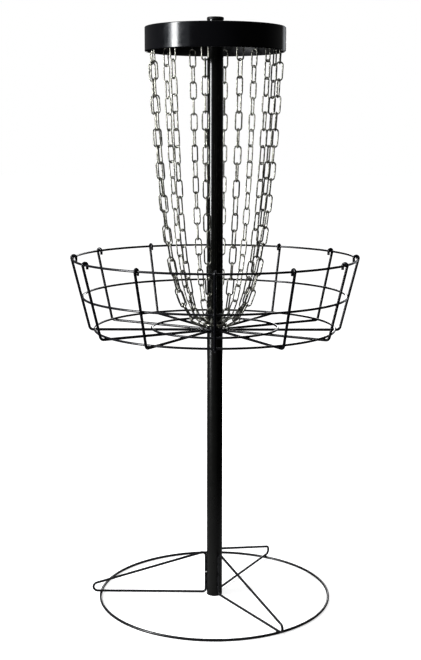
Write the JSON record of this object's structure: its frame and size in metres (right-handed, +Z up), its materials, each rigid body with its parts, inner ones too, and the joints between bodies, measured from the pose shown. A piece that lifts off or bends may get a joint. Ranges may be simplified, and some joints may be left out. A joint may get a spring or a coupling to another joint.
{
  "type": "disc golf basket",
  "caption": "Free-standing disc golf target: a pole on a wire base, a round wire basket, and hanging chains under a band.",
  "frame": {"origin": "on the floor, at the centre of the pole's foot", "axes": "+Z up along the pole; -Y is the front"},
  "size_m": [0.6762, 0.6762, 1.37],
  "materials": {
    "base_wire": "black powder coat, semi-gloss",
    "basket_wire": "black powder coat, semi-gloss",
    "lower_tube": "black powder coat, satin",
    "upper_tube": "black powder coat, gloss",
    "cap_plastic": "black moulded plastic",
    "band_sheet": "black gloss coat",
    "head_wire": "black powder coat, semi-gloss",
    "hook_steel": "dark zinc plate",
    "chain_steel": "zinc plate, slightly dull",
    "joiner_steel": "drawn steel"
  },
  "bodies": {
    "stand": {"base_ring": "base_wire", "leg_1": "base_wire", "leg_2": "base_wire", "leg_3": "base_wire", "lower_pole": "lower_tube", "foot_plug": "cap_plastic"},
    "basket": {"basket_hub": "basket_wire", "rib_01": "basket_wire", "rib_02": "basket_wire", "rib_03": "basket_wire", "rib_04": "basket_wire", "rib_05": "basket_wire", "rib_06": "basket_wire", "rib_07": "basket_wire", "rib_08": "basket_wire", "rib_09": "basket_wire", "rib_10": "basket_wire", "rib_11": "basket_wire", "rib_12": "basket_wire", "rim_ring": "basket_wire", "middle_ring": "basket_wire", "bottom_ring": "basket_wire", "floor_ring": "basket_wire"},
    "head": {"upper_pole": "upper_tube", "pole_joiner": "joiner_steel", "joiner_rivet": "joiner_steel", "pole_cap": "cap_plastic", "head_hub": "head_wire", "band_arm_1": "head_wire", "band_arm_2": "head_wire", "band_arm_3": "head_wire", "band_arm_4": "head_wire", "band_arm_5": "head_wire", "band_arm_6": "head_wire", "chain_band": "band_sheet", "hanger_ring": "head_wire", "chain_hooks": "hook_steel", "chain_ring": "chain_steel"},
    "chain_01": {"chain_01": "chain_steel"},
    "chain_02": {"chain_02": "chain_steel"},
    "chain_03": {"chain_03": "chain_steel"},
    "chain_04": {"chain_04": "chain_steel"},
    "chain_05": {"chain_05": "chain_steel"},
    "chain_06": {"chain_06": "chain_steel"},
    "chain_07": {"chain_07": "chain_steel"},
    "chain_08": {"chain_08": "chain_steel"},
    "chain_09": {"chain_09": "chain_steel"},
    "chain_10": {"chain_10": "chain_steel"},
    "chain_11": {"chain_11": "chain_steel"},
    "chain_12": {"chain_12": "chain_steel"}
  },
  "joints": [
    {"name": "basket_turn", "type": "hinge", "parent": "stand", "child": "basket", "pos_m": [0, 0, 0.655], "axis": [0, 0, 1], "continuous": true},
    {"name": "head_lift", "type": "slide", "parent": "stand", "child": "head", "axis": [0, 0, 1], "range_m": [0, 0.088]},
    {"name": "chain_01_swing", "type": "hinge", "parent": "head", "child": "chain_01", "pos_m": [0.00941, -0.02402, 0.6685], "axis": [0.0695, -0.1774, 0.9817], "range_deg": [-12, 12]},
    {"name": "chain_02_swing", "type": "hinge", "parent": "head", "child": "chain_02", "pos_m": [0.02016, -0.0161, 0.6685], "axis": [0.1489, -0.1188, 0.9817], "range_deg": [-12, 12]},
    {"name": "chain_03_swing", "type": "hinge", "parent": "head", "child": "chain_03", "pos_m": [0.02551, -0.00386, 0.6685], "axis": [0.1884, -0.0285, 0.9817], "range_deg": [-12, 12]},
    {"name": "chain_04_swing", "type": "hinge", "parent": "head", "child": "chain_04", "pos_m": [0.02402, 0.00941, 0.6685], "axis": [0.1774, 0.0695, 0.9817], "range_deg": [-12, 12]},
    {"name": "chain_05_swing", "type": "hinge", "parent": "head", "child": "chain_05", "pos_m": [0.0161, 0.02016, 0.6685], "axis": [0.1188, 0.1489, 0.9817], "range_deg": [-12, 12]},
    {"name": "chain_06_swing", "type": "hinge", "parent": "head", "child": "chain_06", "pos_m": [0.00386, 0.02551, 0.6685], "axis": [0.0285, 0.1884, 0.9817], "range_deg": [-12, 12]},
    {"name": "chain_07_swing", "type": "hinge", "parent": "head", "child": "chain_07", "pos_m": [-0.00941, 0.02402, 0.6685], "axis": [-0.0695, 0.1774, 0.9817], "range_deg": [-12, 12]},
    {"name": "chain_08_swing", "type": "hinge", "parent": "head", "child": "chain_08", "pos_m": [-0.02016, 0.0161, 0.6685], "axis": [-0.1489, 0.1188, 0.9817], "range_deg": [-12, 12]},
    {"name": "chain_09_swing", "type": "hinge", "parent": "head", "child": "chain_09", "pos_m": [-0.02551, 0.00386, 0.6685], "axis": [-0.1884, 0.0285, 0.9817], "range_deg": [-12, 12]},
    {"name": "chain_10_swing", "type": "hinge", "parent": "head", "child": "chain_10", "pos_m": [-0.02402, -0.00941, 0.6685], "axis": [-0.1774, -0.0695, 0.9817], "range_deg": [-12, 12]},
    {"name": "chain_11_swing", "type": "hinge", "parent": "head", "child": "chain_11", "pos_m": [-0.0161, -0.02016, 0.6685], "axis": [-0.1188, -0.1489, 0.9817], "range_deg": [-12, 12]},
    {"name": "chain_12_swing", "type": "hinge", "parent": "head", "child": "chain_12", "pos_m": [-0.00386, -0.02551, 0.6685], "axis": [-0.0285, -0.1884, 0.9817], "range_deg": [-12, 12]}
  ]
}
